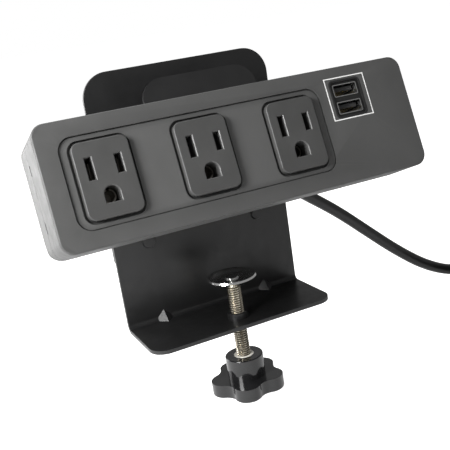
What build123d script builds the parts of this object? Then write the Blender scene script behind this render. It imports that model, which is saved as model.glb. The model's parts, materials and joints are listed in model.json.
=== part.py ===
from build123d import *
import os
from math import cos, radians, sin, tan

os.makedirs("parts", exist_ok=True)

# A desk power strip on a clamp bracket. Millimetres, +Z up, X along the strip, -Y towards the user.
# The origin is on the clamp screw's axis, at the underside of the upper jaw, which rests on the desk.

# ---- driving dimensions -------------------------------------------------------------------------

# Strip housing
strip_width = 182.7
strip_height = 55.0
strip_depth = 37.0
strip_lean = 18.5
strip_shift = -1.8
blade_line_y = -43.5
blade_line_z = 43.0
blade_line_up = 5.0
corner_radius = 6.0
cover_depth = 22.0
wall = 2.4
rear_bottom_radius = 12.0
rear_top_radius = 4.0
edge_soft = 0.7
seam_bevel = 0.35

# Raised outlets in a shallow panel
outlet_pitch = 45.3
outlet_shift = -19.9
outlet_count = 3
outlet_size = (24.5, 33.0)
outlet_corner = 3.5
outlet_proud = 1.5
outlet_gap = 1.3
outlet_body_depth = 14.0
outlet_back = 1.5
outlet_lip = 2.4
outlet_lip_thickness = 1.4
panel_size = (125.0, 40.0)
panel_corner = 6.5
panel_recess = 0.8
panel_groove_width = 0.5
panel_groove_depth = 0.5
rim_groove_behind = 1.0
rim_groove_width = 0.6
rim_groove_depth = 0.35

# Blade slots of a grounded 15 A outlet
blade_spacing = 12.7
slot_width = 2.9
neutral_slot_height = 9.6
line_slot_height = 8.1
ground_drop = 11.9
ground_radius = 3.45
slot_bevel = 0.35

# USB ports, one above the other
usb_x = 57.8
usb_y = 11.9
usb_pitch = 8.4
usb_opening = (12.5, 5.2)
usb_shell_wall = 0.35
usb_shell_depth = 14.0
bezel_size = (17.4, 18.2)
bezel_corner = 2.2
bezel_dish = 1.0
tongue_size = (11.1, 1.9)
tongue_depth = 9.0

# Circuit boards and what stands on them
board_thickness = 1.6
board_gap = 0.1
surge_board_z = -30.2
surge_board_place = (-58.0, 0.0)
surge_board_size = (38.0, 26.0)
usb_board_place = (64.0, 4.0)
usb_board_size = (28.0, 32.0)
transformer_place = (60.0, 10.0)
transformer_core = (13.0, 11.0)
transformer_winding = (9.0, 13.0)
transformer_height = 12.0
capacitor_place = (72.0, 12.0)
capacitor_radius = 4.0
capacitor_height = 11.0
varistor_count = 3
varistor_start = (-70.0, 3.0)
varistor_pitch = 9.0
varistor_radius = 5.0
varistor_lead_spread = 2.6
fuse_place = (-44.5, -3.0)
fuse_radius = 2.4
fuse_length = 9.0

# Clamp bracket, folded from one sheet
sheet = 2.0
bracket_width = 104.2
fold_radius = 3.5
flange_front_y = -13.1
back_y = 28.2
flange_z = -58.5
plate_top_z = 77.3
plate_bottom_z = -24.0
plate_corner = 14.0
flange_corner = 9.0
jaw_corner = 4.0
jaw_front_y = -13.5
riser_width = 60.8
riser_top = 47.2
riser_corner = 11.0
dart_x = 31.2
dart_size = 5.5
rivet_x = 32.6
rivet_z = -13.5
rivet_head = 3.2
bracket_screw_grid = (40.0, 26.0, 2, 2)

# Clamp screw, swivel pad and star knob
screw_diameter = 7.5
thread_clearance = 0.06
collar_diameter = 11.0
collar_height = 3.3
pad_radius = 13.2
pad_floor_radius = 9.6
pad_height = 3.8
pad_sheet = 1.1
pad_floor_z = -38.6
pad_play = 0.7
pad_rivet_shank = 4.0
pad_rivet_head = 7.0
hub_top_z = -80.0
hub_radius = 10.2
hub_height = 11.8
knob_height = 19.3
lobe_count = 5
lobe_centre_radius = 12.5
lobe_radius = 7.5
lobe_web_radius = 11.0
lobe_turn = 28.0
scallop_radius = 7.0
knob_soft = 1.0
insert_diameter = 10.6

# Cord, laid down past the right end of the strip
cord_diameter = 7.5
relief_length = 28.0
relief_base = 12.0
relief_end = 9.5
cord_exit = (58.0, -7.0)
cord_hole_radius = 5.4
surface_z = -118.0
coil_centre = (251.0, 23.0)
coil_columns = 4
coil_layers = 2
coil_mean_radius = 45.0
tie_thickness = 1.0
tie_gap = 0.2
tie_width = 12.0
tie_angle = 235.0
plug_turn = 80.0
plug_size = 25.0
plug_corner = 7.0

# ---- planes and places --------------------------------------------------------------------------

lean = radians(strip_lean)
strip_up = Vector(0, sin(lean), cos(lean))
strip_out = Vector(0, -cos(lean), sin(lean))
blade_line = Vector(strip_shift, blade_line_y, blade_line_z)
face_centre = blade_line - strip_up * blade_line_up
strip_face = Plane(origin=face_centre, x_dir=(1, 0, 0), z_dir=strip_out)
outlet_places = [outlet_shift + outlet_pitch * (i - 1) for i in range(outlet_count)]
screw_places = [(sx * 83.6, sy * 19.8) for sx in (-1, 1) for sy in (-1, 1)]
screw_places += [(x, sy * 21.0) for x in (-42.6, 43.4) for sy in (-1, 1)]


def on_strip(x, y, z):
    """A point given in the strip's own frame: right, up and out of the face centre."""
    return face_centre + Vector(x, 0, 0) + strip_up * y + strip_out * z


def save(block, name):
    """Label a finished piece and write it as its own STEP file."""
    block.part.label = name
    export_step(block.part, f"parts/{name}.step")


# ---- strip housing ------------------------------------------------------------------------------

boss_radius = 3.3
pilot_radius = 1.2

with BuildPart() as front_cover:
    with BuildSketch(strip_face):
        RectangleRounded(strip_width, strip_height, corner_radius)
    extrude(amount=-cover_depth)
    front_rim = front_cover.faces().sort_by(Axis(face_centre, strip_out))[-1].edges()
    fillet(front_rim, edge_soft)
    back_rim = front_cover.faces().sort_by(Axis(face_centre, strip_out))[0].edges()
    chamfer(back_rim, seam_bevel)
    # a fine line all round, just behind the face
    with BuildSketch(strip_face.offset(-rim_groove_behind)):
        RectangleRounded(strip_width + wall, strip_height + wall, corner_radius + wall / 2)
        RectangleRounded(
            strip_width - 2 * rim_groove_depth,
            strip_height - 2 * rim_groove_depth,
            corner_radius - rim_groove_depth,
            mode=Mode.SUBTRACT,
        )
    extrude(amount=-rim_groove_width, mode=Mode.SUBTRACT)
    with BuildSketch(strip_face.offset(-wall)):
        RectangleRounded(strip_width - 2 * wall, strip_height - 2 * wall, corner_radius - wall)
    extrude(amount=-cover_depth, mode=Mode.SUBTRACT)
    with BuildSketch(strip_face.offset(-cover_depth)):
        with Locations(*screw_places):
            Circle(boss_radius)
    extrude(amount=cover_depth - wall / 2)
    with BuildSketch(strip_face.offset(-cover_depth)):
        with Locations(*screw_places):
            Circle(pilot_radius)
    extrude(amount=14, mode=Mode.SUBTRACT)
    with BuildSketch(strip_face):
        with Locations((outlet_shift, 0)):
            RectangleRounded(*panel_size, panel_corner)
    extrude(amount=-panel_recess, mode=Mode.SUBTRACT)
    with BuildSketch(strip_face):
        with Locations((outlet_shift, 0)):
            RectangleRounded(*panel_size, panel_corner)
            RectangleRounded(
                panel_size[0] - 2 * panel_groove_width,
                panel_size[1] - 2 * panel_groove_width,
                panel_corner - panel_groove_width,
                mode=Mode.SUBTRACT,
            )
    extrude(amount=-panel_recess - panel_groove_depth, mode=Mode.SUBTRACT)
    with BuildSketch(strip_face):
        with Locations(*[(x, 0) for x in outlet_places]):
            RectangleRounded(
                outlet_size[0] + 2 * outlet_gap,
                outlet_size[1] + 2 * outlet_gap,
                outlet_corner + outlet_gap,
            )
    extrude(amount=-2 * wall, mode=Mode.SUBTRACT)
    with BuildSketch(strip_face):
        with Locations((usb_x, usb_y)):
            RectangleRounded(bezel_size[0] + 0.3, bezel_size[1] + 0.3, bezel_corner)
    extrude(amount=-2 * wall, mode=Mode.SUBTRACT)
    # snap windows in both end walls, at the seam
    with BuildSketch(strip_face.offset(-cover_depth)):
        for end in (-1, 1):
            with Locations((end * strip_width / 2, 13.0), (end * strip_width / 2, -12.5)):
                Rectangle(2.4 * wall, 5.0)
    extrude(amount=1.6, mode=Mode.SUBTRACT)
save(front_cover, "front_cover")

rear_depth = strip_depth - cover_depth
side_plane = Plane(origin=face_centre, x_dir=strip_up, z_dir=(1, 0, 0))
half_height = strip_height / 2
head_radius = 3.0
head_depth = 2.2

with BuildPart() as rear_housing:
    with BuildSketch(side_plane):
        # local x is up the strip, local y is out of the face
        with BuildLine():
            FilletPolyline(
                (-half_height, -cover_depth - 0.02),
                (-half_height, -strip_depth),
                (0, -strip_depth),
                radius=rear_bottom_radius,
            )
            FilletPolyline(
                (0, -strip_depth),
                (half_height, -strip_depth),
                (half_height, -cover_depth - 0.02),
                radius=rear_top_radius,
            )
            Line((half_height, -cover_depth - 0.02), (-half_height, -cover_depth - 0.02))
        make_face()
    extrude(amount=strip_width / 2, both=True)
    with BuildSketch(strip_face):
        RectangleRounded(strip_width, strip_height, corner_radius)
    extrude(amount=-strip_depth, mode=Mode.INTERSECT)
    with BuildSketch(side_plane):
        with BuildLine():
            FilletPolyline(
                (-half_height + wall, -cover_depth + 1),
                (-half_height + wall, -strip_depth + wall),
                (0, -strip_depth + wall),
                radius=rear_bottom_radius - wall,
            )
            FilletPolyline(
                (0, -strip_depth + wall),
                (half_height - wall, -strip_depth + wall),
                (half_height - wall, -cover_depth + 1),
                radius=rear_top_radius - wall,
            )
            Line((half_height - wall, -cover_depth + 1), (-half_height + wall, -cover_depth + 1))
        make_face()
    extrude(amount=strip_width / 2 - wall, both=True, mode=Mode.SUBTRACT)
    # screw towers and their counterbores from behind
    with BuildSketch(strip_face.offset(-cover_depth - 0.3)):
        with Locations(*screw_places):
            Circle(boss_radius + 1.2)
    extrude(amount=-rear_depth + 1.8)
    with BuildSketch(strip_face.offset(-strip_depth)):
        with Locations(*screw_places):
            Circle(head_radius + 0.3)
    extrude(amount=rear_depth - 4.5, mode=Mode.SUBTRACT)
    with BuildSketch(strip_face.offset(-strip_depth)):
        with Locations(*screw_places):
            Circle(1.8)
    extrude(amount=rear_depth, mode=Mode.SUBTRACT)
    with BuildSketch(strip_face):
        RectangleRounded(strip_width, strip_height, corner_radius)
    extrude(amount=-strip_depth, mode=Mode.INTERSECT)
    # four bosses for the bracket screws
    with BuildSketch(strip_face.offset(-strip_depth)):
        with GridLocations(*bracket_screw_grid):
            Circle(4.2)
    extrude(amount=9)
    with BuildSketch(strip_face.offset(-strip_depth)):
        with GridLocations(*bracket_screw_grid):
            Circle(2.05)
    extrude(amount=8, mode=Mode.SUBTRACT)
    # the cord's hole
    with BuildSketch(strip_face.offset(-strip_depth)):
        with Locations(cord_exit):
            Circle(cord_hole_radius)
    extrude(amount=2 * wall, mode=Mode.SUBTRACT)
    # posts under the surge board
    with BuildSketch(strip_face.offset(-strip_depth + wall / 2)):
        with Locations(surge_board_place):
            with GridLocations(surge_board_size[0] - 7, surge_board_size[1] - 6, 2, 2):
                Circle(2.2)
    extrude(amount=strip_depth - wall / 2 + surge_board_z - board_thickness - 0.02)
save(rear_housing, "rear_housing")

with BuildPart() as housing_screws:
    with BuildSketch(strip_face.offset(-strip_depth + rear_depth - 4.5 - head_depth)):
        with Locations(*screw_places):
            Circle(head_radius)
    extrude(amount=head_depth - 0.02)
    with BuildSketch(strip_face.offset(-strip_depth + rear_depth - 4.6)):
        with Locations(*screw_places):
            Circle(1.15)
    extrude(amount=14)
    with BuildSketch(strip_face.offset(-strip_depth + rear_depth - 4.5 - head_depth)):
        with Locations(*screw_places):
            Rectangle(3.6, 0.8)
            Rectangle(0.8, 3.6)
    extrude(amount=1.2, mode=Mode.SUBTRACT)
save(housing_screws, "housing_screws")

# ---- outlets ------------------------------------------------------------------------------------

slot_x = blade_spacing / 2
slot_y = blade_line_up
ground_y = blade_line_up - ground_drop
leaf_cavity = (5.2, 10.6)
ground_cavity = 4.0
contact_depth = 7.0
front_z = outlet_proud
block_back_z = outlet_proud - outlet_body_depth - outlet_back


def ground_hole():
    """The ground socket's outline: round above and squared off below."""
    Circle(ground_radius)
    with Locations((0, -ground_radius / 2)):
        Rectangle(2 * ground_radius, ground_radius)


def blade_slots(centre_x):
    """The three openings of one outlet: neutral on the left, line on the right, ground below."""
    with Locations((centre_x - slot_x, slot_y)):
        Rectangle(slot_width, neutral_slot_height)
    with Locations((centre_x + slot_x, slot_y)):
        Rectangle(slot_width, line_slot_height)
    with Locations((centre_x, ground_y)):
        ground_hole()


for number, centre_x in enumerate(outlet_places, start=1):
    with BuildPart() as outlet_face:
        with BuildSketch(strip_face.offset(front_z)):
            with Locations((centre_x, 0)):
                RectangleRounded(*outlet_size, outlet_corner)
        extrude(amount=-contact_depth)
        outlet_rim = outlet_face.faces().sort_by(Axis(face_centre, strip_out))[-1].edges()
        fillet(outlet_rim, 0.5)
        # a lip behind the cover holds the outlet in
        with BuildSketch(strip_face.offset(-wall - 0.1)):
            with Locations((centre_x, 0)):
                RectangleRounded(
                    outlet_size[0] + 2 * outlet_lip,
                    outlet_size[1] + 2 * outlet_lip,
                    outlet_corner + outlet_lip,
                )
        extrude(amount=-outlet_lip_thickness)
        with BuildSketch(strip_face.offset(-wall)):
            with Locations((centre_x, 0)):
                Rectangle(outlet_size[0] - 1.0, outlet_size[1] - 2.0)
        extrude(amount=block_back_z + wall)
        with BuildSketch(strip_face.offset(front_z)):
            blade_slots(centre_x)
        extrude(amount=-outlet_body_depth - 4, mode=Mode.SUBTRACT)
        # bevelled mouths
        front = outlet_face.faces().sort_by(Axis(face_centre, strip_out))[-1]
        mouths = [edge for wire in front.inner_wires() for edge in wire.edges()]
        chamfer(mouths, slot_bevel)
        # cavities for the contacts, open at the back
        with BuildSketch(strip_face.offset(front_z - contact_depth)):
            with Locations((centre_x - slot_x, slot_y), (centre_x + slot_x, slot_y)):
                Rectangle(*leaf_cavity)
            with Locations((centre_x, ground_y)):
                Circle(ground_cavity)
        extrude(amount=-outlet_body_depth, mode=Mode.SUBTRACT)
    save(outlet_face, f"outlet_face_{number}")


# ---- contact strips behind the outlets ----------------------------------------------------------

strip_metal = 0.8
contact_top = front_z - contact_depth - 0.5
contact_base = block_back_z - 0.4
leaf_metal = 0.6
leaf_space = 1.8
leaf_height = 7.0
line_rail_y = 12.6
neutral_rail_y = -1.0
ground_rail_y = -14.0
rail_width = 3.2
rail_left = outlet_places[0] - 10.0
rail_right = outlet_places[-1] + 14.0
rail_length = rail_right - rail_left
rail_x = (rail_left + rail_right) / 2


def contact_rail(rail_y, contact_x, contact_y):
    """A flat rail behind all outlets, with a tab and a pair of spring leaves for each of them."""
    tab_low = min(rail_y, contact_y - leaf_height / 2)
    tab_high = max(rail_y, contact_y + leaf_height / 2)
    with BuildPart() as rail:
        with BuildSketch(strip_face.offset(contact_base)):
            with Locations((rail_x, rail_y)):
                Rectangle(rail_length, rail_width)
            with Locations(*[(x + contact_x, (tab_low + tab_high) / 2) for x in outlet_places]):
                Rectangle(leaf_space + 2 * leaf_metal, tab_high - tab_low)
        extrude(amount=-strip_metal)
        with BuildSketch(strip_face.offset(contact_base)):
            for x in outlet_places:
                for side in (-1, 1):
                    with Locations((x + contact_x + side * (leaf_space + leaf_metal) / 2, contact_y)):
                        Rectangle(leaf_metal, leaf_height)
        extrude(amount=contact_top - contact_base)
    return rail


line_contacts = contact_rail(line_rail_y, slot_x, slot_y)
save(line_contacts, "line_contacts")
neutral_contacts = contact_rail(neutral_rail_y, -slot_x, slot_y)
save(neutral_contacts, "neutral_contacts")

ground_ring_inner = 2.5
ground_ring_outer = 3.2

with BuildPart() as ground_contacts:
    with BuildSketch(strip_face.offset(contact_base)):
        with Locations((rail_x, ground_rail_y)):
            Rectangle(rail_length, rail_width)
        with Locations(*[(x, (ground_rail_y + ground_y) / 2) for x in outlet_places]):
            Rectangle(rail_width, ground_y - ground_rail_y)
        with Locations(*[(x, ground_y) for x in outlet_places]):
            Circle(ground_ring_outer)
    extrude(amount=-strip_metal)
    with BuildSketch(strip_face.offset(contact_base)):
        with Locations(*[(x, ground_y) for x in outlet_places]):
            Circle(ground_ring_outer)
            Circle(ground_ring_inner, mode=Mode.SUBTRACT)
            Rectangle(1.2, 2.4 * ground_ring_outer, mode=Mode.SUBTRACT)
    extrude(amount=contact_top - contact_base)
save(ground_contacts, "ground_contacts")

# ---- USB ports ----------------------------------------------------------------------------------

shell_size = (usb_opening[0] + 2 * usb_shell_wall, usb_opening[1] + 2 * usb_shell_wall)
usb_places = [(usb_x, usb_y + usb_pitch / 2), (usb_x, usb_y - usb_pitch / 2)]
usb_names = ["upper", "lower"]
bezel_thickness = 2.2

with BuildPart() as usb_bezel:
    with BuildSketch(strip_face):
        with Locations((usb_x, usb_y)):
            RectangleRounded(*bezel_size, bezel_corner)
    extrude(amount=-bezel_thickness)
    with BuildSketch(strip_face):
        with Locations((usb_x, usb_y)):
            RectangleRounded(bezel_size[0] - 1.4, bezel_size[1] - 1.4, bezel_corner - 0.5)
    extrude(amount=-bezel_dish, mode=Mode.SUBTRACT)
    # a flange behind the cover holds the bezel in
    with BuildSketch(strip_face.offset(-wall - 0.1)):
        with Locations((usb_x, usb_y)):
            RectangleRounded(bezel_size[0] + 2.4, bezel_size[1] + 2.4, bezel_corner)
    extrude(amount=-1.2)
    with BuildSketch(strip_face.offset(-bezel_dish)):
        with Locations((usb_x, usb_y)):
            RectangleRounded(bezel_size[0] - 0.4, bezel_size[1] - 0.4, bezel_corner - 0.3)
    extrude(amount=-wall)
    with BuildSketch(strip_face):
        with Locations(*usb_places):
            Rectangle(shell_size[0] + 0.2, shell_size[1] + 0.2)
    extrude(amount=-3 * wall, mode=Mode.SUBTRACT)
save(usb_bezel, "usb_bezel")

usb_front_z = -bezel_dish + 0.3
for name, place in zip(usb_names, usb_places):
    with BuildPart() as usb_shell:
        with BuildSketch(strip_face.offset(usb_front_z)):
            with Locations(place):
                RectangleRounded(*shell_size, 0.6)
        extrude(amount=-usb_shell_depth)
        with BuildSketch(strip_face.offset(usb_front_z)):
            with Locations(place):
                RectangleRounded(*usb_opening, 0.3)
        extrude(amount=-usb_shell_depth + usb_shell_wall, mode=Mode.SUBTRACT)
    save(usb_shell, f"usb_shell_{name}")
    with BuildPart() as usb_tongue:
        with BuildSketch(strip_face.offset(usb_front_z - usb_shell_depth + usb_shell_wall + 0.02)):
            with Locations((place[0], place[1] + 1.0)):
                Rectangle(*tongue_size)
        extrude(amount=usb_shell_depth - 3.4)
    save(usb_tongue, f"usb_tongue_{name}")

# ---- circuit boards -----------------------------------------------------------------------------

usb_board_z = usb_front_z - usb_shell_depth - board_gap

with BuildPart() as usb_board:
    with BuildSketch(strip_face.offset(usb_board_z)):
        with Locations(usb_board_place):
            Rectangle(*usb_board_size)
    extrude(amount=-board_thickness)
save(usb_board, "usb_board")

component_z = usb_board_z - board_thickness - board_gap

with BuildPart() as usb_transformer:
    with BuildSketch(strip_face.offset(component_z)):
        with Locations(transformer_place):
            Rectangle(*transformer_core)
    extrude(amount=-transformer_height)
    with BuildSketch(strip_face.offset(component_z - transformer_height / 3)):
        with Locations(transformer_place):
            Rectangle(*transformer_winding)
    extrude(amount=-transformer_height / 2)
save(usb_transformer, "usb_transformer")

with BuildPart() as usb_capacitor:
    with BuildSketch(strip_face.offset(component_z)):
        with Locations(capacitor_place):
            Circle(capacitor_radius)
    extrude(amount=-capacitor_height)
    fillet(usb_capacitor.edges().sort_by(Axis(face_centre, strip_out))[0], 0.6)
save(usb_capacitor, "usb_capacitor")

with BuildPart() as surge_board:
    with BuildSketch(strip_face.offset(surge_board_z)):
        with Locations(surge_board_place):
            Rectangle(*surge_board_size)
    extrude(amount=-board_thickness)
save(surge_board, "surge_board")

for number in range(varistor_count):
    with BuildPart() as varistor:
        stand_x = varistor_start[0] + number * varistor_pitch
        disc_centre = on_strip(stand_x, varistor_start[1], surge_board_z + varistor_radius + 1.2)
        with BuildSketch(Plane(origin=disc_centre, x_dir=strip_up, z_dir=(1, 0, 0))):
            Circle(varistor_radius)
            with Locations((-varistor_lead_spread, -3.4), (varistor_lead_spread, -3.4)):
                Rectangle(0.8, 5.4)
        extrude(amount=2.0, both=True)
    save(varistor, f"varistor_{number + 1}")

with BuildPart() as thermal_fuse:
    fuse_centre = on_strip(*fuse_place, surge_board_z + fuse_radius + 0.6)
    with BuildSketch(Plane(origin=fuse_centre, x_dir=(1, 0, 0), z_dir=strip_up)):
        Circle(fuse_radius)
    extrude(amount=fuse_length)
save(thermal_fuse, "thermal_fuse")

# ---- clamp bracket: flange, back, upper jaw and riser, folded from one sheet ----------------------

half_sheet = sheet / 2
flange_y = back_y + half_sheet
riser_out = strip_depth + half_sheet
riser_foot = on_strip(0, -strip_height / 2, -riser_out)
# the riser's middle line runs on down until it meets the jaw's middle line
riser_drop = (riser_foot.Z - half_sheet) / cos(lean)
riser_low_y = riser_foot.Y - riser_drop * sin(lean)
riser_tip = on_strip(0, riser_top, -riser_out)


def dart_corners(x, corner_z, rise):
    """The four corners of a dart pressed into a fold: a ridge across the fold, falling off each way."""
    return [
        (x, back_y - dart_size, corner_z),
        (x, back_y, corner_z + rise * dart_size),
        (x - dart_size, back_y, corner_z),
        (x + dart_size, back_y, corner_z),
    ]


with BuildPart() as clamp_bracket:
    with BuildSketch(Plane.YZ):
        with BuildLine():
            FilletPolyline(
                (flange_front_y, flange_z - half_sheet),
                (flange_y, flange_z - half_sheet),
                (flange_y, half_sheet),
                (jaw_front_y, half_sheet),
                radius=fold_radius,
            )
        trace(line_width=sheet)
    extrude(amount=bracket_width / 2, both=True)
    fillet(clamp_bracket.edges().filter_by(Axis.Z).group_by(Axis.Z)[0], flange_corner)
    fillet(clamp_bracket.edges().filter_by(Axis.Z).group_by(Axis.Z)[-1], jaw_corner)
    with BuildSketch(Plane.YZ):
        with BuildLine():
            FilletPolyline(
                (jaw_front_y + 6, half_sheet),
                (riser_low_y, half_sheet),
                (riser_tip.Y, riser_tip.Z),
                radius=fold_radius,
            )
        trace(line_width=sheet)
    extrude(amount=riser_width / 2, both=True)
    tip_edges = clamp_bracket.edges().filter_by(lambda e: abs(e.center().Z - riser_tip.Z) < 1.5)
    fillet(tip_edges.filter_by(lambda e: abs(abs(e.center().X) - riser_width / 2) < 0.1), riser_corner)
    for x in (-dart_x, dart_x):
        ConvexPolyhedron(dart_corners(x, flange_z, 1))
        ConvexPolyhedron(dart_corners(x, 0, -1))
    # the collar pressed up round the screw
    with BuildSketch(Plane.XY.offset(flange_z)):
        Circle(collar_diameter / 2)
    extrude(amount=collar_height, taper=4)
    with BuildSketch(Plane.XY.offset(flange_z - sheet)):
        Circle(screw_diameter / 2 + thread_clearance)
    extrude(amount=sheet + collar_height, mode=Mode.SUBTRACT)
    # rivet holes, and four holes for the screws into the strip
    with BuildSketch(Plane.XZ.offset(-back_y)):
        with Locations((-rivet_x, rivet_z), (rivet_x, rivet_z)):
            Circle(1.6)
    extrude(amount=-2 * sheet, mode=Mode.SUBTRACT)
    with BuildSketch(strip_face.offset(-strip_depth + 1)):
        with GridLocations(*bracket_screw_grid):
            Circle(2.2)
    extrude(amount=-2 * sheet, mode=Mode.SUBTRACT)
save(clamp_bracket, "clamp_bracket")

with BuildPart() as rear_plate:
    with BuildSketch(Plane.XZ.offset(-back_y - sheet - 0.02)):
        with Locations((0, (plate_top_z + plate_bottom_z) / 2)):
            Rectangle(bracket_width, plate_top_z - plate_bottom_z)
        top_corners = vertices().group_by(Axis.Y)[-1]
        fillet(top_corners, plate_corner)
        bottom_corners = vertices().group_by(Axis.Y)[0]
        fillet(bottom_corners, 4.0)
        with Locations((-rivet_x, rivet_z), (rivet_x, rivet_z)):
            Circle(1.6, mode=Mode.SUBTRACT)
    extrude(amount=-sheet)
save(rear_plate, "rear_plate")

with BuildPart() as bracket_rivets:
    with BuildSketch(Plane.XZ.offset(-back_y + 1.4)):
        with Locations((-rivet_x, rivet_z), (rivet_x, rivet_z)):
            Circle(rivet_head)
    extrude(amount=-1.38, taper=-24)
    with BuildSketch(Plane.XZ.offset(-back_y + 0.1)):
        with Locations((-rivet_x, rivet_z), (rivet_x, rivet_z)):
            Circle(1.58)
    extrude(amount=-2 * sheet - 0.3)
    with BuildSketch(Plane.XZ.offset(-back_y - 2 * sheet - 0.04)):
        with Locations((-rivet_x, rivet_z), (rivet_x, rivet_z)):
            Circle(rivet_head)
    extrude(amount=-1.2, taper=20)
save(bracket_rivets, "bracket_rivets")

with BuildPart() as bracket_screws:
    with BuildSketch(strip_face.offset(-strip_depth - sheet - 0.02)):
        with GridLocations(*bracket_screw_grid):
            Circle(3.8)
    extrude(amount=-2.2, taper=14)
    with BuildSketch(strip_face.offset(-strip_depth - sheet - 0.5)):
        with GridLocations(*bracket_screw_grid):
            Circle(2.0)
    extrude(amount=sheet + 8)
    with BuildSketch(strip_face.offset(-strip_depth - sheet - 2.3)):
        with GridLocations(*bracket_screw_grid):
            Rectangle(4.0, 0.8)
            Rectangle(0.8, 4.0)
    extrude(amount=1.2, mode=Mode.SUBTRACT)
save(bracket_screws, "bracket_screws")

# ---- clamp screw, swivel pad and star knob --------------------------------------------------------

screw_top_z = pad_floor_z - 0.7
screw_foot_z = hub_top_z - hub_height - 8.4
pad_bore_depth = 7.5

with BuildPart() as clamp_screw:
    with BuildSketch(Plane.XY.offset(screw_top_z)):
        Circle(screw_diameter / 2)
    extrude(amount=screw_foot_z - screw_top_z)
    chamfer(clamp_screw.edges().group_by(Axis.Z)[-1], 0.5)
    with BuildSketch(Plane.XY.offset(screw_top_z)):
        Circle(pad_rivet_shank / 2 + 0.05)
    extrude(amount=-pad_bore_depth, mode=Mode.SUBTRACT)
save(clamp_screw, "clamp_screw")

with BuildPart() as pad_rivet:
    with BuildSketch(Plane.XY.offset(screw_top_z - pad_bore_depth + 0.3)):
        Circle(pad_rivet_shank / 2)
    extrude(amount=pad_floor_z + pad_sheet + pad_play - (screw_top_z - pad_bore_depth + 0.3))
    with BuildSketch(Plane.XY.offset(pad_floor_z + pad_sheet + pad_play)):
        Circle(pad_rivet_head / 2)
    extrude(amount=1.5)
    fillet(pad_rivet.edges().group_by(Axis.Z)[-1], 1.0)
save(pad_rivet, "pad_rivet")

with BuildPart() as swivel_pad:
    with BuildSketch(Plane.XZ):
        with BuildLine():
            pad_wall = Spline(
                (pad_rivet_shank / 2 + 0.4, pad_floor_z + pad_sheet / 2),
                (pad_floor_radius - 2.0, pad_floor_z + pad_sheet / 2),
                (pad_floor_radius + 0.9, pad_floor_z + pad_sheet / 2 + 1.1),
                (pad_radius - pad_sheet / 2, pad_floor_z + pad_height - pad_sheet / 2),
                tangents=[(1, 0), (1.2, 0.5)],
            )
        trace(line_width=pad_sheet)
    revolve(axis=Axis.Z)
save(swivel_pad, "swivel_pad")

with BuildPart() as knob:
    with BuildSketch(Plane.XY.offset(hub_top_z)):
        Circle(hub_radius)
    extrude(amount=-knob_height + 0.2)
    with BuildSketch(Plane.XY.offset(hub_top_z - hub_height)):
        Circle(lobe_web_radius)
        with PolarLocations(lobe_centre_radius, lobe_count, start_angle=lobe_turn):
            Circle(lobe_radius)
        fillet(vertices(), scallop_radius)
    extrude(amount=hub_height - knob_height)
    fillet(knob.edges().group_by(Axis.Z)[0], knob_soft)
    fillet(knob.edges().group_by(Axis.Z)[-1], knob_soft / 2)
    with BuildSketch(Plane.XY.offset(hub_top_z)):
        Circle(insert_diameter / 2)
    extrude(amount=-hub_height - 8.6, mode=Mode.SUBTRACT)
save(knob, "knob")

with BuildPart() as knob_insert:
    with BuildSketch(Plane.XY.offset(hub_top_z + 0.1)):
        Circle(insert_diameter / 2)
        Circle(screw_diameter / 2, mode=Mode.SUBTRACT)
    extrude(amount=-hub_height - 8.6)
save(knob_insert, "knob_insert")

# ---- power cord -----------------------------------------------------------------------------------

cord_exit_point = on_strip(cord_exit[0], cord_exit[1], -strip_depth)
relief_plane = Plane(origin=cord_exit_point, x_dir=(1, 0, 0), z_dir=-strip_out)
relief_tip = cord_exit_point - strip_out * relief_length

with BuildPart() as strain_relief:
    with BuildSketch(relief_plane.offset(0.02)):
        Circle(relief_base / 2)
    with BuildSketch(relief_plane.offset(relief_length)):
        Circle(relief_end / 2)
    loft()
    # the neck through the housing's wall, and the flange inside it
    with BuildSketch(relief_plane.offset(0.02)):
        Circle(cord_hole_radius - 0.1)
    extrude(amount=-wall - 0.5)
    with BuildSketch(relief_plane.offset(-wall - 0.1)):
        Circle(cord_hole_radius + 1.4)
    extrude(amount=-1.6)
save(strain_relief, "strain_relief")


def wire(points, thickness, radii):
    """A round wire along straight runs joined by tangent arcs."""
    with BuildPart() as swept:
        with BuildLine() as path:
            FilletPolyline(*points, radius=radii)
        with BuildSketch(Plane(origin=path.line @ 0, z_dir=path.line % 0)):
            Circle(thickness / 2)
        sweep()
    return swept


def soft_radii(points):
    """The largest arc that each corner's two runs leave room for."""
    corners = [Vector(*point) for point in points]
    radii = []
    for before, corner, after in zip(corners, corners[1:], corners[2:]):
        run_in = corner - before
        run_out = after - corner
        half_turn = radians(run_in.get_angle(run_out)) / 2
        radii.append(0.45 * min(run_in.length, run_out.length) / tan(half_turn))
    return radii


def cord_tube(name, points):
    """A stretch of cord; its arcs and its volume are printed to be compared with what is wanted."""
    radii = soft_radii(points)
    tube = wire(points, cord_diameter, radii)
    print(name, "radii", [round(radius, 1) for radius in radii])
    length = sum(edge.length for edge in FilletPolyline(*points, radius=radii).edges())
    section = radians(180) * cord_diameter**2 / 4
    print(name, "length", round(length, 1), "volume ratio", round(tube.part.volume / (section * length), 4))
    save(tube, name)


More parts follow.
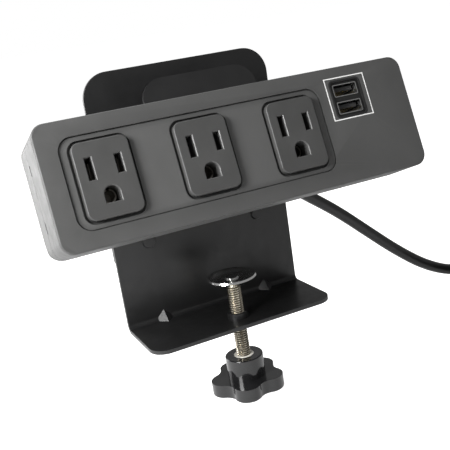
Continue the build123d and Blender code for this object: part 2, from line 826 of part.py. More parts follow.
# the three cores, from the relief to the right-hand ends of the contact rails
core_diameter = 2.6
core_bend = 2.6
rail_back_z = contact_base - strip_metal - 0.03
relief_inner_z = -strip_depth + wall + 1.75
rail_joint_x = 34.0
core_routes = {
    "line_core": (59.4, -5.6, -25.0, line_rail_y),
    "neutral_core": (55.9, -6.2, -27.0, neutral_rail_y),
    "ground_core": (57.2, -9.1, -29.0, ground_rail_y),
}
for name, (start_x, start_y, turn_z, rail_y) in core_routes.items():
    core_points = [
        on_strip(start_x, start_y, relief_inner_z),
        on_strip(start_x, start_y, turn_z),
        on_strip(rail_joint_x, rail_y, turn_z + 2),
        on_strip(rail_joint_x, rail_y, rail_back_z),
    ]
    save(wire(core_points, core_diameter, core_bend), name)

# thin leads from the rails down to the surge board, and across to the USB board
lead_diameter = 1.6
with BuildPart() as surge_leads:
    with BuildSketch(strip_face.offset(rail_back_z)):
        with Locations((rail_left + 1.5, line_rail_y - 0.4), (rail_left + 1.5, neutral_rail_y)):
            Circle(lead_diameter / 2)
    extrude(amount=surge_board_z + 0.03 - rail_back_z)
save(surge_leads, "surge_leads")

usb_lead_x = usb_board_place[0] - usb_board_size[0] / 2 + 1.6
for name, rail_y in (("usb_lead_line", line_rail_y), ("usb_lead_neutral", neutral_rail_y)):
    lead_points = [
        on_strip(rail_right - 1.2, rail_y, rail_back_z),
        on_strip(rail_right - 1.2, rail_y, rail_back_z - 5),
        on_strip(usb_lead_x, rail_y, rail_back_z - 5),
        on_strip(usb_lead_x, rail_y, usb_board_z - board_thickness - 0.03),
    ]
    save(wire(lead_points, lead_diameter, 1.6), name)

# The cord leaves the relief straight back, bends down behind the desk's edge and runs to the right.
# The rest of it lies there in a tied coil, on the surface that the clamp's knob stands clear of.
cord_route = [
    tuple(relief_tip),
    (56.2, 31.8, 5.1),
    (61.0, 47.6, -2.2),
    (72.0, 60.0, -10.6),
    (88.0, 66.0, -22.0),
    (109.0, 67.0, -37.5),
    (131.0, 67.0, -57.0),
    (154.0, 68.0, -77.0),
    (180.0, 70.5, -96.0),
    (208.0, 75.0, -109.0),
    (236.0, 79.1, -112.6),
]
cord_tube("power_cord", cord_route)

bundle_bottom_z = surface_z + tie_thickness + tie_gap
bundle_height = coil_layers * cord_diameter
bundle_width = coil_columns * cord_diameter
bundle_z = bundle_bottom_z + bundle_height / 2
coil_axis = Axis((coil_centre[0], coil_centre[1], 0), (0, 0, 1))
coil_outer_turn = coil_mean_radius + (coil_columns - 1) / 2 * cord_diameter
coil_top_turn_z = bundle_z + (coil_layers - 1) / 2 * cord_diameter

with BuildPart() as cord_coil:
    with BuildSketch(Plane(origin=(*coil_centre, 0), x_dir=(1, 0, 0), z_dir=(0, -1, 0))):
        with Locations((coil_mean_radius, bundle_z)):
            RectangleRounded(bundle_width, bundle_height, cord_diameter / 2 - 0.3)
    revolve(axis=coil_axis)
save(cord_coil, "cord_coil")

tie_arc = tie_width / coil_mean_radius * 180 / radians(180)
tie_start = radians(tie_angle - tie_arc / 2)
tie_plane = Plane(
    origin=(*coil_centre, 0),
    x_dir=(cos(tie_start), sin(tie_start), 0),
    z_dir=(sin(tie_start), -cos(tie_start), 0),
)
with BuildPart() as cord_tie:
    with BuildSketch(tie_plane):
        with Locations((coil_mean_radius, bundle_z)):
            RectangleRounded(
                bundle_width + 2 * (tie_gap + tie_thickness),
                bundle_height + 2 * (tie_gap + tie_thickness),
                cord_diameter / 2 + tie_gap + tie_thickness - 0.3,
            )
            RectangleRounded(
                bundle_width + 2 * tie_gap,
                bundle_height + 2 * tie_gap,
                cord_diameter / 2 + tie_gap - 0.3,
                mode=Mode.SUBTRACT,
            )
    revolve(axis=coil_axis, revolution_arc=tie_arc)
save(cord_tie, "cord_tie")

# The last turn climbs on to the coil's top and ends in the plug, which lies there on its side.
plug_start = (47.0, 8.5)
plug_axis_z = bundle_bottom_z + bundle_height + 0.3 + plug_size / 2
coil_frame = Plane(
    origin=(*coil_centre, 0),
    x_dir=(cos(radians(plug_turn)), sin(radians(plug_turn)), 0),
    z_dir=(0, 0, 1),
)
tail_steps = [
    (0.0, coil_outer_turn, coil_top_turn_z),
    (20.0, 53.0, coil_top_turn_z + 3.5),
    (35.0, 42.5, plug_axis_z - 6.4),
    (44.0, 25.5, plug_axis_z - 1.3),
    (plug_start[0], plug_start[1], plug_axis_z),
]
cord_tube("cord_tail", [tuple(coil_frame.from_local_coords(step)) for step in tail_steps])

# Plug: two flat blades and a round ground pin on a moulded body
plug_relief_length = 18.0
plug_neck = 13.0
plug_body_length = 30.0
blade_length = 17.9
blade_thickness = 1.5
neutral_blade = 7.9
line_blade = 6.3
pin_diameter = 4.8
pin_length = 20.6
plug_pair_up = 4.0

plug_plane = Plane(
    origin=coil_frame.from_local_coords((plug_start[0], plug_start[1], plug_axis_z)),
    x_dir=-coil_frame.x_dir,
    z_dir=-coil_frame.y_dir,
)
plug_front = plug_relief_length + plug_body_length

with BuildPart() as plug_body:
    with BuildSketch(plug_plane.offset(0.02)):
        Circle(relief_end / 2)
    with BuildSketch(plug_plane.offset(plug_relief_length)):
        Circle(plug_neck / 2)
    loft()
    with BuildSketch(plug_plane.offset(plug_relief_length)):
        RectangleRounded(plug_size - 9, plug_size - 9, plug_corner)
    with BuildSketch(plug_plane.offset(plug_relief_length + 8)):
        RectangleRounded(plug_size, plug_size, plug_corner)
    loft()
    with BuildSketch(plug_plane.offset(plug_relief_length + 8)):
        RectangleRounded(plug_size, plug_size, plug_corner)
    extrude(amount=plug_body_length - 8)
    fillet(plug_body.faces().sort_by(Axis(plug_plane.origin, plug_plane.z_dir))[-1].edges(), 1.5)
save(plug_body, "plug_body")

plug_blades = {"plug_blade_line": (-1, line_blade), "plug_blade_neutral": (1, neutral_blade)}
for name, (across, blade_width) in plug_blades.items():
    with BuildPart() as plug_blade:
        with BuildSketch(plug_plane.offset(plug_front + 0.02)):
            with Locations((across * blade_spacing / 2, plug_pair_up)):
                Rectangle(blade_thickness, blade_width)
        extrude(amount=blade_length)
        blade_tip = plug_blade.faces().sort_by(Axis(plug_plane.origin, plug_plane.z_dir))[-1].edges()
        chamfer(blade_tip, 0.45)
    save(plug_blade, name)

with BuildPart() as plug_ground_pin:
    with BuildSketch(plug_plane.offset(plug_front + 0.02)):
        with Locations((0, plug_pair_up - ground_drop)):
            Circle(pin_diameter / 2)
    extrude(amount=pin_length)
    pin_tip = plug_ground_pin.faces().sort_by(Axis(plug_plane.origin, plug_plane.z_dir))[-1].edges()
    fillet(pin_tip, 1.9)
save(plug_ground_pin, "plug_ground_pin")
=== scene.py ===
import json
from math import cos, pi, radians, sin

import bmesh
import bpy
from mathutils import Matrix, Vector


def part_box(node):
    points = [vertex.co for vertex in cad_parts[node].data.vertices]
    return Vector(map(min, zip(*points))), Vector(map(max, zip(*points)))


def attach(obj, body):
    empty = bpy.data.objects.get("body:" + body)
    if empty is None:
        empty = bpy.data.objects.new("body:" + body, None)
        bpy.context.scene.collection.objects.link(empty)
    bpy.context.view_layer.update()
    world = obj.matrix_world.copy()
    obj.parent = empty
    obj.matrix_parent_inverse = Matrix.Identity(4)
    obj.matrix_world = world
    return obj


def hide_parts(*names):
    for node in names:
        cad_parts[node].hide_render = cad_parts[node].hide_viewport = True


# A desk power strip on a clamp bracket. Metres, in the CAD model's frame: the origin is on the clamp
# screw's axis at the upper jaw's underside, +X along the strip, +Y to the back, +Z up.

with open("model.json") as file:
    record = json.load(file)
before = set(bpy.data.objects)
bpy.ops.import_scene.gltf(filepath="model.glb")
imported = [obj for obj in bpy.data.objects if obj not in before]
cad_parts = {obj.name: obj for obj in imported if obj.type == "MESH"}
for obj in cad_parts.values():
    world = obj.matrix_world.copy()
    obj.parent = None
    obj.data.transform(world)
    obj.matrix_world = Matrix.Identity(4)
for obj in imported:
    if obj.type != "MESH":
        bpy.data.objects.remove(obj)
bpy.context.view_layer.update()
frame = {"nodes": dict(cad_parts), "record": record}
nodes = frame["nodes"]
mounts = {mount["name"]: mount for mount in frame["record"]["mounts"]}

MM = 0.001

# The strip leans back, so its own directions come from the axis of its middle outlet.
OUT = Vector(mounts["outlet_2"]["axis"]).normalized()
RIGHT = Vector((1, 0, 0))
UP = OUT.cross(RIGHT).normalized()
BLADE_LINE_UP = 5 * MM
OUTLET_PROUD = 1.5 * MM
OUTLET_SHIFT = -19.9 * MM
STRIP_DEPTH = 37 * MM
FACE_CENTRE = Vector(mounts["outlet_2"]["pos_m"]) - UP * BLADE_LINE_UP - OUT * OUTLET_PROUD
FACE_CENTRE -= RIGHT * OUTLET_SHIFT


def on_strip(x, y, z):
    """A point given right, up and out of the centre of the strip's front face."""
    return FACE_CENTRE + RIGHT * x + UP * y + OUT * z


# ---- camera ---------------------------------------------------------------------------------------


def make_camera():
    data = bpy.data.cameras.new("camera")
    data.lens = 60.79
    data.sensor_width = 36.0
    data.shift_x = -0.0038
    data.shift_y = 0.0024
    data.clip_start = 0.01
    data.clip_end = 200.0
    camera = bpy.data.objects.new("camera", data)
    bpy.context.scene.collection.objects.link(camera)
    right = Vector((0.89454, -0.42193, -0.14756))
    up = Vector((0.24112, 0.17752, 0.95412))
    back = right.cross(up)
    rotation = Matrix((right, up, back)).transposed().to_4x4()
    camera.matrix_world = Matrix.Translation((-0.14588, -0.34811, 0.09368)) @ rotation
    bpy.context.scene.camera = camera


make_camera()

# ---- materials --------------------------------------------------------------------------------------


def link(tree, source, target):
    tree.links.new(source, target)


def noise(tree, coordinates, size, detail=3.0):
    """Noise whose blotches are about this many millimetres across."""
    node = tree.nodes.new("ShaderNodeTexNoise")
    node.inputs["Scale"].default_value = 1 / (size * MM)
    node.inputs["Detail"].default_value = detail
    link(tree, coordinates, node.inputs["Vector"])
    return node.outputs["Fac"]


def spread(tree, value, low, high, start=0.3, end=0.7):
    """Values from start to end, stretched to low to high."""
    node = tree.nodes.new("ShaderNodeMapRange")
    node.inputs["From Min"].default_value = start
    node.inputs["From Max"].default_value = end
    node.inputs["To Min"].default_value = low
    node.inputs["To Max"].default_value = high
    link(tree, value, node.inputs["Value"])
    return node.outputs["Result"]


def mixed(tree, factor, first, second):
    """A blend of two colours; each is a plain colour or another node's output."""
    node = tree.nodes.new("ShaderNodeMix")
    node.data_type = "RGBA"
    link(tree, factor, node.inputs["Factor"])
    for name, colour in (("A", first), ("B", second)):
        socket = next(s for s in node.inputs if s.name == name and s.type == "RGBA")
        if isinstance(colour, tuple):
            socket.default_value = (*colour, 1)
        else:
            link(tree, colour, socket)
    return next(s for s in node.outputs if s.type == "RGBA")


def weave(tree, coordinates, size):
    """Over-and-under threads this many millimetres apart."""
    waves = []
    for direction in ("X", "Z"):
        wave = tree.nodes.new("ShaderNodeTexWave")
        wave.bands_direction = direction
        wave.inputs["Scale"].default_value = 0.314 / (size * MM)
        wave.inputs["Distortion"].default_value = 0.6
        link(tree, coordinates, wave.inputs["Vector"])
        waves.append(wave.outputs["Fac"])
    product = tree.nodes.new("ShaderNodeMath")
    product.operation = "MULTIPLY"
    link(tree, waves[0], product.inputs[0])
    link(tree, waves[1], product.inputs[1])
    return product.outputs["Value"]


def finish(
    name, colour, rough, metal=0.0, mottle=0.12, grain=0.4,
    depth=0.02, edge_wear_and_highlight=0.3, coat=0.0, woven=0.0, hollow_shade=0.5,
):
    """A surface with blotchy colour and gloss, a fine grain, edges painted paler as a highlight and as rub
    wear, and hollows painted darker as shade.
    """
    material = bpy.data.materials.new(name)
    material.use_nodes = True
    tree = material.node_tree
    shader = tree.nodes["Principled BSDF"]
    coordinates = tree.nodes.new("ShaderNodeTexCoord").outputs["Object"]
    blotches = spread(tree, noise(tree, coordinates, 14), 0, 1)
    dark = tuple(c * (1 - mottle) for c in colour)
    light = tuple(min(c * (1 + mottle), 1) for c in colour)
    base = mixed(tree, blotches, dark, light)
    pointiness = tree.nodes.new("ShaderNodeNewGeometry").outputs["Pointiness"]
    # paler edges: a painted highlight along sharp edges, together with rub wear
    edges = spread(tree, pointiness, 0, edge_wear_and_highlight, 0.52, 0.62)
    # darker hollows: painted shade in creases and recesses
    hollows = spread(tree, pointiness, hollow_shade, 0, 0.38, 0.48)
    rubbed_and_highlit = tuple(min(c * 1.6 + 0.03, 1) for c in colour)
    painted_shade_colour = tuple(c * 0.15 for c in colour)
    worn_and_highlit = mixed(tree, edges, base, rubbed_and_highlit)
    link(tree, mixed(tree, hollows, worn_and_highlit, painted_shade_colour), shader.inputs["Base Color"])
    smudges = noise(tree, coordinates, 5, 5.0)
    link(tree, spread(tree, smudges, rough * 0.85, rough * 1.15), shader.inputs["Roughness"])
    height = weave(tree, coordinates, woven) if woven else noise(tree, coordinates, grain, 2.0)
    bump = tree.nodes.new("ShaderNodeBump")
    bump.inputs["Strength"].default_value = 0.6
    bump.inputs["Distance"].default_value = depth * MM
    link(tree, height, bump.inputs["Height"])
    link(tree, bump.outputs["Normal"], shader.inputs["Normal"])
    shader.inputs["Metallic"].default_value = metal
    shader.inputs["Coat Weight"].default_value = coat
    shader.inputs["Coat Roughness"].default_value = 0.08
    return material


FINISHES = {
    "housing_plastic": finish(
        "housing_plastic", (0.062, 0.062, 0.061), 0.5, mottle=0.05, grain=0.35, depth=0.03
    ),
    "outlet_plastic": finish(
        "outlet_plastic", (0.055, 0.055, 0.054), 0.46, mottle=0.05, grain=0.3, depth=0.025
    ),
    "usb_plastic": finish("usb_plastic", (0.012, 0.012, 0.012), 0.35, grain=0.3, depth=0.015),
    "usb_steel": finish(
        "usb_steel", (0.62, 0.62, 0.61), 0.26, metal=1.0, mottle=0.08, grain=0.25, depth=0.01
    ),
    # contacts darker than bare brass: painted shade for the deep slots they sit in
    "contact_brass": finish("contact_brass", (0.2, 0.19, 0.17), 0.3, metal=1.0, grain=0.3, depth=0.01),
    "board_laminate": finish("board_laminate", (0.02, 0.12, 0.05), 0.4, woven=0.5, depth=0.02),
    "component_case": finish("component_case", (0.05, 0.05, 0.045), 0.5, grain=0.5),
    "varistor_coating": finish("varistor_coating", (0.04, 0.08, 0.3), 0.28, grain=0.8, depth=0.05, coat=0.3),
    "fastener_steel": finish("fastener_steel", (0.16, 0.16, 0.155), 0.38, metal=1.0, grain=0.3, depth=0.015),
    "bracket_steel": finish(
        "bracket_steel", (0.011, 0.011, 0.0112), 0.36, mottle=0.15, grain=0.55, depth=0.045, edge_wear_and_highlight=0.08
    ),
    # the screw's thread grooves take the full painted shade in their hollows
    "screw_nickel": finish(
        "screw_nickel", (0.74, 0.68, 0.55), 0.24, metal=1.0, grain=0.2, depth=0.01, hollow_shade=1.0
    ),
    "pad_chrome": finish(
        "pad_chrome", (0.84, 0.84, 0.83), 0.2, metal=1.0, mottle=0.05, grain=0.6, depth=0.006
    ),
    "knob_plastic": finish("knob_plastic", (0.009, 0.009, 0.0095), 0.13, grain=0.7, depth=0.006, coat=0.4),
    "insert_plastic": finish("insert_plastic", (0.8, 0.77, 0.68), 0.42, mottle=0.05, grain=0.5, depth=0.02),
    "cord_jacket": finish("cord_jacket", (0.011, 0.011, 0.011), 0.36, grain=0.5, depth=0.02),
    "tie_strap": finish("tie_strap", (0.02, 0.02, 0.02), 0.85, woven=1.1, depth=0.25),
    "black_wire": finish("black_wire", (0.02, 0.02, 0.02), 0.4),
    "white_wire": finish("white_wire", (0.8, 0.8, 0.78), 0.4, mottle=0.04),
    "green_wire": finish("green_wire", (0.02, 0.2, 0.05), 0.4),
}
white_ink = finish("white_ink", (0.82, 0.82, 0.8), 0.6, mottle=0.06, grain=0.25, depth=0.008)
thread_shadow = finish("thread_shadow", (0.13, 0.11, 0.085), 0.45, metal=1.0, grain=0.2, depth=0.01)
gold_plate = finish("gold_plate", (0.85, 0.62, 0.25), 0.25, metal=1.0, grain=0.3, depth=0.006)

for part in frame["record"]["subparts"]:
    node = nodes[part["node"]]
    if not node.material_slots:
        node.data.materials.append(None)
    for place in node.material_slots:
        place.material = FINISHES[part["material_slot"]]

# ---- mesh pieces --------------------------------------------------------------------------------------


def add_piece(name, points, faces, body, slot, material=None):
    """A mesh piece on a CAD body, with its faces turned outwards."""
    mesh = bpy.data.meshes.new(name)
    mesh.from_pydata([tuple(point) for point in points], [], faces)
    shape = bmesh.new()
    shape.from_mesh(mesh)
    bmesh.ops.recalc_face_normals(shape, faces=shape.faces)
    shape.to_mesh(mesh)
    shape.free()
    for face in mesh.polygons:
        face.use_smooth = True
    mesh.set_sharp_from_angle(angle=radians(40))
    mesh.materials.append(material or FINISHES[slot])
    piece = bpy.data.objects.new(name, mesh)
    bpy.context.scene.collection.objects.link(piece)
    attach(piece, body)
    return piece


def skin(rings, closed=False):
    """Points and faces of the surface through rings of equal length, capped unless it closes on itself."""
    size = len(rings[0])
    points = [point for ring in rings for point in ring]
    faces = []
    for i in range(len(rings) if closed else len(rings) - 1):
        first, second = i * size, (i + 1) % len(rings) * size
        for k in range(size):
            after = (k + 1) % size
            faces.append((first + k, first + after, second + after, second + k))
    if not closed:
        faces.append(tuple(range(size)))
        faces.append(tuple(range(len(points) - size, len(points))))
    return points, faces


def rounded_ring(centre, across, upward, half_width, half_height, squareness, count):
    """A ring that goes from an ellipse (squareness 2) towards a rectangle."""
    ring = []
    for k in range(count):
        angle = 2 * pi * k / count
        c, s = cos(angle), sin(angle)
        x = half_width * abs(c) ** (2 / squareness) * (1 if c >= 0 else -1)
        y = half_height * abs(s) ** (2 / squareness) * (1 if s >= 0 else -1)
        ring.append(centre + across * x + upward * y)
    return ring


def lathe(name, origin, axis, across, profile, body, slot, count=48):
    """Rings about an axis; the profile gives (distance along it, radius) in millimetres."""
    upward = axis.cross(across)
    rings = []
    for along, radius in profile:
        centre = origin + axis * (along * MM)
        rings.append(rounded_ring(centre, across, upward, radius * MM, radius * MM, 2, count))
    points, faces = skin(rings)
    return add_piece(name, points, faces, body, slot)


# ---- clamp screw's thread -----------------------------------------------------------------------------


THREAD_PITCH = 1.25 * MM
THREAD_DEPTH = 0.62 * MM
GROOVE_SHARPNESS = 2.4
LEAD_IN_LENGTH = 1.2 * MM
LEAD_IN_DEPTH = 0.9 * MM
RIVET_BORE_RADIUS = 2.05 * MM
RIVET_BORE_DEPTH = 7.5 * MM


def make_thread():
    """The screw with its helical thread and the bore that takes the pad's rivet."""
    low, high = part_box("clamp_screw")
    radius = (high[0] - low[0]) / 2
    steps_per_turn = 8
    count = 40
    length = high[2] - low[2]
    ring_count = round(length / THREAD_PITCH * steps_per_turn)
    rings = []
    for i in range(ring_count + 1):
        z = low[2] + length * i / ring_count
        ring = []
        for k in range(count):
            angle = 2 * pi * k / count
            phase = (z / THREAD_PITCH - angle / (2 * pi)) % 1
            groove = max(0.0, 1 - abs(phase - 0.5) * GROOVE_SHARPNESS)
            lead_in = max(0.0, 1 - (high[2] - z) / LEAD_IN_LENGTH) * LEAD_IN_DEPTH
            edge = min(radius - THREAD_DEPTH * groove, radius - lead_in)
            ring.append((edge * cos(angle), edge * sin(angle), z))
        rings.append(ring)
    for z in (high[2], high[2] - RIVET_BORE_DEPTH):
        turns = [2 * pi * k / count for k in range(count)]
        rings.append([(RIVET_BORE_RADIUS * cos(turn), RIVET_BORE_RADIUS * sin(turn), z) for turn in turns])
    points, faces = skin(rings)
    thread = add_piece("screw_thread", points, faces, "screw", "screw_nickel")
    thread.data.materials.append(thread_shadow)
    for face in thread.data.polygons:
        if Vector(face.center[:2]).length < radius - THREAD_DEPTH * 0.55:
            face.material_index = 1
    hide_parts("clamp_screw")


make_thread()

# ---- USB ports ------------------------------------------------------------------------------------------

USB_CENTRE = (58.1, 12.2)
USB_FRAME = (22.2, 20.5)
INK_WIDTH = 0.5
INK_HEIGHT = 0.06


def make_usb_frame():
    """The white line printed round the two USB ports."""
    rings = []
    for side_x, side_y in ((-1, -1), (1, -1), (1, 1), (-1, 1)):
        ring = []
        for inset, height in ((0, -0.02), (0, INK_HEIGHT), (INK_WIDTH, INK_HEIGHT), (INK_WIDTH, -0.02)):
            x = USB_CENTRE[0] + side_x * (USB_FRAME[0] / 2 - inset)
            y = USB_CENTRE[1] + side_y * (USB_FRAME[1] / 2 - inset)
            ring.append(on_strip(x * MM, y * MM, height * MM))
        rings.append(ring)
    points, faces = skin(rings, closed=True)
    add_piece("usb_frame_print", points, faces, "root", "usb_plastic", white_ink)


CONTACT_COUNT = 4
CONTACT_PITCH = 2.3
CONTACT_DROP = 1.02
# distance along a contact strip, half its width and half its thickness, in millimetres
CONTACT_PROFILE = [
    (-4.4, 0.2, 0.05),
    (-4.2, 0.5, 0.1),
    (-3.8, 0.55, 0.12),
    (3.8, 0.55, 0.12),
    (4.3, 0.5, 0.1),
    (4.6, 0.25, 0.05),
]


def make_usb_contacts():
    """Four gold contact strips under each port's tongue, with rounded ends."""
    for port in ("upper", "lower"):
        low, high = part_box(f"usb_tongue_{port}")
        centre = (Vector(low) + Vector(high)) / 2
        points, faces = [], []
        for i in range(CONTACT_COUNT):
            across = (i - (CONTACT_COUNT - 1) / 2) * CONTACT_PITCH * MM
            foot = centre + RIGHT * across - UP * (CONTACT_DROP * MM)
            rings = []
            for along, half_width, half_height in CONTACT_PROFILE:
                spot = foot + OUT * (along * MM)
                rings.append(rounded_ring(spot, RIGHT, UP, half_width * MM, half_height * MM, 4, 12))
            more_points, more_faces = skin(rings)
            faces += [tuple(index + len(points) for index in face) for face in more_faces]
            points += more_points
        add_piece(f"usb_contacts_{port}", points, faces, "root", "contact_brass", gold_plate)


make_usb_frame()
make_usb_contacts()

# ---- power cord -----------------------------------------------------------------------------------

CORD_DIAMETER = 7.5 * MM
SURFACE_Z = -118 * MM
COIL_CENTRE = Vector((251, 23)) * MM
COIL_MEAN_RADIUS = 45 * MM
COIL_COLUMNS = 4
COIL_LAYERS = 2
COIL_LIFT = 1.2 * MM
TURN_POINTS = 18
ENTRY_ANGLE = radians(90)
SHIFT_ANGLE = radians(60)
CLIMB_BULGE = 3.2 * MM
TAIL_ANGLE = radians(170)
TAIL_TURN = TAIL_ANGLE - radians(90)
TIE_ANGLE = radians(235)
STRAP_STANDOFF = 0.7 * MM
CORD_EXIT = (58 * MM, -7 * MM)

# The route from the strain relief's tip down to the surface, in millimetres.
CORD_ROUTE = [
    (56.2, 14.35, 10.98),
    (56.2, 31.8, 5.1),
    (61.0, 47.6, -2.2),
    (72.0, 60.0, -10.6),
    (88.0, 66.0, -22.0),
    (109.0, 67.0, -37.5),
    (131.0, 67.0, -57.0),
    (154.0, 68.0, -77.0),
    (180.0, 70.5, -96.0),
    (208.0, 75.0, -109.0),
    (236.0, 79.1, -112.6),
]

# The last turn's climb on to the coil's top and into the plug, about the coil's centre, in millimetres:
# right and up as seen with the tail's start at the top, then height over the top turns.
TAIL_STEPS = [
    (20.0, 53.0, 3.5),
    (35.0, 42.5, 10.15),
    (44.0, 25.5, 15.25),
    (47.0, 8.5, 16.55),
]


def smooth(t):
    t = min(max(t, 0.0), 1.0)
    return t * t * (3 - 2 * t)


def coil_points():
    """Turns of the tied coil: four lanes inward on the surface, then back outward on top of them."""
    inner = COIL_MEAN_RADIUS - (COIL_COLUMNS - 1) / 2 * CORD_DIAMETER
    low_z = SURFACE_Z + COIL_LIFT + CORD_DIAMETER / 2
    # a quadratic spline runs this much inside its control points
    outset = 1 / cos(pi / TURN_POINTS)
    sweep = 2 * pi * (2 * COIL_COLUMNS - 1) + 2 * pi - SHIFT_ANGLE - radians(20)
    count = round(sweep / (2 * pi) * TURN_POINTS)
    points = []
    for i in range(1, count + 1):
        travelled = sweep * i / count
        turn = int(travelled // (2 * pi))
        in_turn = travelled - turn * 2 * pi
        shift = smooth((in_turn - (2 * pi - SHIFT_ANGLE)) / SHIFT_ANGLE)
        step = turn + shift
        if step <= COIL_COLUMNS - 1:
            lane, layer = COIL_COLUMNS - 1 - step, 0
        elif step <= COIL_COLUMNS:
            lane, layer = 0, step - (COIL_COLUMNS - 1)
        else:
            lane, layer = step - COIL_COLUMNS, 1
        radius = inner + lane * CORD_DIAMETER
        # the strand that climbs to the upper layer bulges inward, clear of its neighbours
        climb = travelled - (2 * pi * COIL_COLUMNS - SHIFT_ANGLE / 2)
        bulge = smooth(1.35 - abs(climb) / SHIFT_ANGLE)
        radius -= CLIMB_BULGE * bulge
        angle = ENTRY_ANGLE - travelled
        points.append((
            COIL_CENTRE.x + radius * outset * cos(angle),
            COIL_CENTRE.y + radius * outset * sin(angle),
            low_z + layer * CORD_DIAMETER,
        ))
    return points


def tail_frame(x, y, z):
    """A point beside the coil's centre, turned so that +y is where the tail starts."""
    top_z = SURFACE_Z + COIL_LIFT + (COIL_LAYERS - 0.5) * CORD_DIAMETER
    return Vector((
        COIL_CENTRE.x + x * cos(TAIL_TURN) - y * sin(TAIL_TURN),
        COIL_CENTRE.y + x * sin(TAIL_TURN) + y * cos(TAIL_TURN),
        top_z + z,
    ))


def spline_curve(name, points, thickness):
    """A round tube along one smooth spline with these control points."""
    curve = bpy.data.curves.new(name, "CURVE")
    curve.dimensions = "3D"
    spline = curve.splines.new("NURBS")
    spline.points.add(len(points) - 1)
    for point, place in zip(spline.points, points):
        point.co = (*place, 1.0)
    spline.order_u = 3
    spline.use_endpoint_u = True
    spline.resolution_u = 6
    curve.bevel_depth = thickness / 2
    curve.bevel_resolution = 6
    curve.use_fill_caps = True
    curve.materials.append(FINISHES["cord_jacket"])
    piece = bpy.data.objects.new(name, curve)
    bpy.context.scene.collection.objects.link(piece)
    return piece


def make_cord():
    route = [tuple(value * MM for value in point) for point in CORD_ROUTE]
    tail = [tail_frame(x * MM, y * MM, z * MM) for x, y, z in TAIL_STEPS]
    points = route + [(COIL_CENTRE.x, 79.25 * MM, route[-1][2] - 0.4 * MM)] + coil_points() + tail
    return spline_curve("cord", points, CORD_DIAMETER)


def make_relief():
    """The tapered strain relief: a flanged neck in the wall, then ribs that thin out towards the cord."""
    length, base, end = 28.0, 6.0, 4.75
    neck, flange, wall = 5.25, 6.75, 2.4
    first_rib, rib_pitch, rib_count = 2.6, 2.9, 8
    profile = [(-wall - 1.65, neck), (-wall - 1.6, flange), (-wall - 0.15, flange)]
    profile += [(-wall - 0.1, neck), (0.0, neck)]
    profile += [(0.1, base - 0.5), (0.5, base), (first_rib, base)]
    for i in range(rib_count):
        start = first_rib + i * rib_pitch
        outer = base + (end - base) * start / length
        profile += [(start + 0.3, outer - 0.9), (start + 1.1, outer - 0.95)]
        profile += [(start + 1.4, outer), (start + 2.7, outer)]
    profile += [(length - 1.4, end), (length - 0.4, end - 0.1), (length - 0.05, end - 0.9)]
    origin = on_strip(*CORD_EXIT, -STRIP_DEPTH)
    relief = lathe("strain_relief_ribs", origin, -OUT, RIGHT, profile, "root", "cord_jacket")
    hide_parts("strain_relief")


def make_plug():
    """The moulded plug: a ribbed relief that swells into a rounded square body with grip lines.

    Each station gives distance along the plug, half its width in millimetres, and its squareness.
    """
    start = tail_frame(*(value * MM for value in TAIL_STEPS[-1]))
    axis = Vector((sin(TAIL_TURN), -cos(TAIL_TURN), 0))
    across = Vector((-cos(TAIL_TURN), -sin(TAIL_TURN), 0))
    upward = Vector((0, 0, 1))
    stations = [(0.05, 3.9, 2), (0.4, 4.6, 2), (1.6, 4.75, 2)]
    for i in range(5):
        foot = 1.8 + i * 3.0
        radius = 4.75 + (6.4 - 4.75) * foot / 18
        stations += [(foot + 0.2, radius - 0.8, 2), (foot + 1.1, radius - 0.8, 2)]
        stations += [(foot + 1.4, radius, 2), (foot + 2.7, radius, 2)]
    stations += [(17.6, 6.4, 2), (18.3, 7.6, 2.6), (20, 9.6, 3.2), (23, 11.6, 3.8), (26, 12.4, 4.2)]
    for i in range(4):
        foot = 28 + i * 3.0
        stations += [(foot, 12.45, 4.4), (foot + 0.3, 11.95, 4.4)]
        stations += [(foot + 0.9, 11.95, 4.4), (foot + 1.2, 12.45, 4.4)]
    stations += [(46.2, 12.45, 4.4), (47.3, 12.15, 4.4), (47.8, 11.6, 4.4), (47.97, 11.0, 4.4)]
    rings = [
        rounded_ring(start + axis * (along * MM), across, upward, half * MM, half * MM, squareness, 56)
        for along, half, squareness in stations
    ]
    points, faces = skin(rings)
    plug = add_piece("plug_moulding", points, faces, "root", "cord_jacket")
    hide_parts("plug_body")
    return plug


def make_tie():
    """A woven strap round the coil's bundle, a little crowned across its width."""
    outward = Vector((cos(TIE_ANGLE), sin(TIE_ANGLE), 0))
    along = Vector((-sin(TIE_ANGLE), cos(TIE_ANGLE), 0))
    upward = Vector((0, 0, 1))
    half_height = COIL_LAYERS * CORD_DIAMETER / 2 + STRAP_STANDOFF
    half_width = COIL_COLUMNS * CORD_DIAMETER / 2 + STRAP_STANDOFF
    centre = Vector((COIL_CENTRE.x, COIL_CENTRE.y, SURFACE_Z + COIL_LIFT + COIL_LAYERS * CORD_DIAMETER / 2))
    centre += outward * COIL_MEAN_RADIUS
    # across the strap and out of it, in millimetres: a crowned outside and a flat inside
    section = [(-5.9, -0.35), (-5.9, 0.25), (-3, 0.42), (0, 0.46)]
    section += [(3, 0.42), (5.9, 0.25), (5.9, -0.35), (0, -0.42)]
    loop_count = 96
    loop_squareness = 6
    loop = rounded_ring(centre, outward, upward, half_width, half_height, loop_squareness, loop_count)
    rings = []
    for i in range(loop_count):
        ahead = (loop[(i + 1) % loop_count] - loop[i - 1]).normalized()
        outside = ahead.cross(along).normalized()
        if outside.dot(loop[i] - centre) < 0:
            outside.negate()
        rings.append([loop[i] + along * (x * MM) + outside * (y * MM) for x, y in section])
    points, faces = skin(rings, closed=True)
    tie = add_piece("tie_strap", points, faces, "root", "tie_strap")
    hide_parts("cord_tie")
    return tie


make_relief()
plug = make_plug()
tie = make_tie()
cord = make_cord()
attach(cord, "root")
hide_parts("power_cord", "cord_coil", "cord_tail")


# ---- stage and lights -------------------------------------------------------------------------------


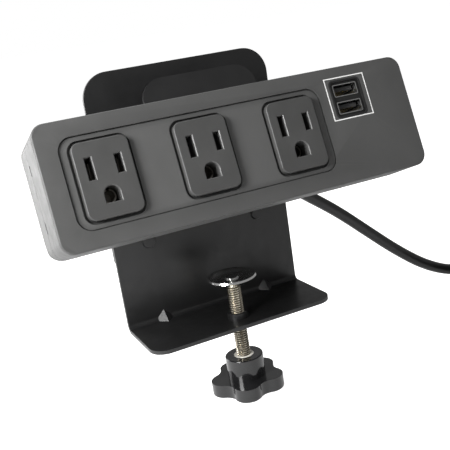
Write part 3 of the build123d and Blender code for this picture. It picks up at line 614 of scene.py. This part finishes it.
def make_floor():
    mesh = bpy.data.meshes.new("floor")
    half = 30.0
    corners = [(-half, -half), (half, -half), (half, half), (-half, half)]
    mesh.from_pydata([(x, y, SURFACE_Z) for x, y in corners], [], [(0, 1, 2, 3)])
    floor = bpy.data.objects.new("floor", mesh)
    bpy.context.scene.collection.objects.link(floor)
    paint = bpy.data.materials.new("floor")
    paint.use_nodes = True
    shader = paint.node_tree.nodes["Principled BSDF"]
    shader.inputs["Base Color"].default_value = (0.86, 0.86, 0.86, 1)
    shader.inputs["Roughness"].default_value = 0.9
    shader.inputs["Specular IOR Level"].default_value = 0.1
    shader.inputs["Emission Color"].default_value = (1, 1, 1, 1)
    # the floor looks white out to the horizon, and throws less than that on the object
    rays = paint.node_tree.nodes.new("ShaderNodeLightPath")
    lift = paint.node_tree.nodes.new("ShaderNodeMath")
    lift.operation = "MULTIPLY"
    lift.inputs[1].default_value = 0.8
    link(paint.node_tree, rays.outputs["Is Camera Ray"], lift.inputs[0])
    link(paint.node_tree, lift.outputs["Value"], shader.inputs["Emission Strength"])
    mesh.materials.append(paint)


def area_light(name, place, aim, size, power, tint=(1, 1, 1)):
    data = bpy.data.lights.new(name, "AREA")
    data.shape = "RECTANGLE"
    data.size, data.size_y = size
    data.energy = power
    data.color = tint
    light = bpy.data.objects.new(name, data)
    light.location = place
    light.rotation_euler = (Vector(aim) - Vector(place)).to_track_quat("-Z", "Y").to_euler()
    light.visible_camera = False
    bpy.context.scene.collection.objects.link(light)


def make_lights():
    world = bpy.data.worlds.new("studio")
    world.use_nodes = True
    background = world.node_tree.nodes["Background"]
    background.inputs["Color"].default_value = (1, 1, 1, 1)
    background.inputs["Strength"].default_value = 1.0
    # the camera sees a white studio, while less than that falls on the object
    dim = world.node_tree.nodes.new("ShaderNodeBackground")
    dim.inputs["Color"].default_value = (1, 1, 1, 1)
    dim.inputs["Strength"].default_value = 0.26
    rays = world.node_tree.nodes.new("ShaderNodeLightPath")
    choice = world.node_tree.nodes.new("ShaderNodeMixShader")
    link(world.node_tree, rays.outputs["Is Camera Ray"], choice.inputs[0])
    link(world.node_tree, dim.outputs[0], choice.inputs[1])
    link(world.node_tree, background.outputs[0], choice.inputs[2])
    link(world.node_tree, choice.outputs[0], world.node_tree.nodes["World Output"].inputs["Surface"])
    bpy.context.scene.world = world
    area_light("key", (-0.38, -0.17, 0.2), (-0.06, -0.05, 0.03), (0.16, 0.16), 3.8)
    area_light("side", (-0.60, 0.75, 0.12), (-0.09, -0.04, 0.04), (0.5, 0.5), 6)
    area_light("top", (0.0, 0.3, 1.1), (0, 0, 0), (0.8, 0.8), 6)


make_floor()
make_lights()
bpy.context.scene.view_settings.view_transform = "Standard"
